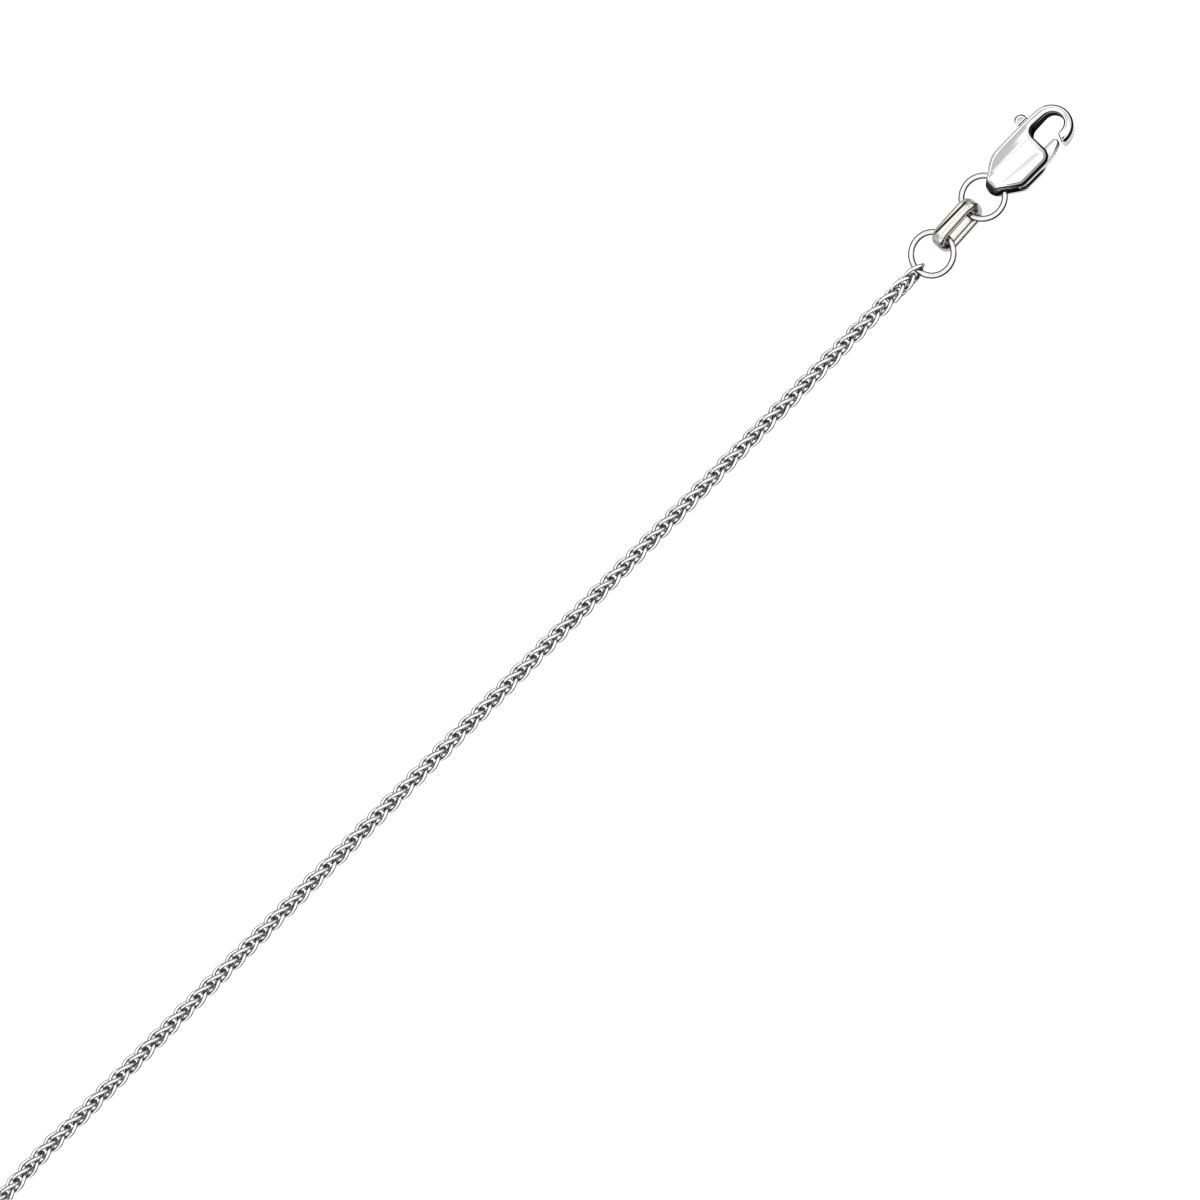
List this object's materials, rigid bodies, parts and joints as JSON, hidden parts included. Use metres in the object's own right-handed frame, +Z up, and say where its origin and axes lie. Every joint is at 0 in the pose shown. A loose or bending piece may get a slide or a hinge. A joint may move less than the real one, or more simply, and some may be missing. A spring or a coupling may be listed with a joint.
{
  "type": "wheat chain necklace",
  "caption": "Fine plaited wheat chain necklace lying unfastened, with a sprung lobster clasp, jump rings, an oval connector link and an end ring.",
  "frame": {"origin": "on the surface that the necklace lies on, under the middle of its box", "axes": "+X along the straight run of the chain towards the clasp, +Z up from the surface"},
  "size_m": [0.1659, 0.1205, 0.0032],
  "materials": {
    "chain_metal": "bright polished white metal wire",
    "polished_metal": "mirror polished white metal",
    "satin_metal": "satin white metal"
  },
  "bodies": {
    "necklace": {"wheat_chain": "chain_metal", "front_end_link": "chain_metal", "back_end_link": "chain_metal", "chain_ring": "polished_metal", "connector_link": "satin_metal", "clasp_ring": "polished_metal", "clasp_body": "polished_metal", "end_ring": "polished_metal"},
    "clasp_lever": {"clasp_lever": "polished_metal"}
  },
  "joints": [
    {"name": "lever_pivot", "type": "hinge", "parent": "necklace", "child": "clasp_lever", "pos_m": [0.06323, 0.05683, 0.0018], "axis": [0, 0.3256, 0.9455], "range_deg": [0, 24], "stiffness_Nm_per_rad": 0.0005, "springref_deg": -17.19}
  ]
}
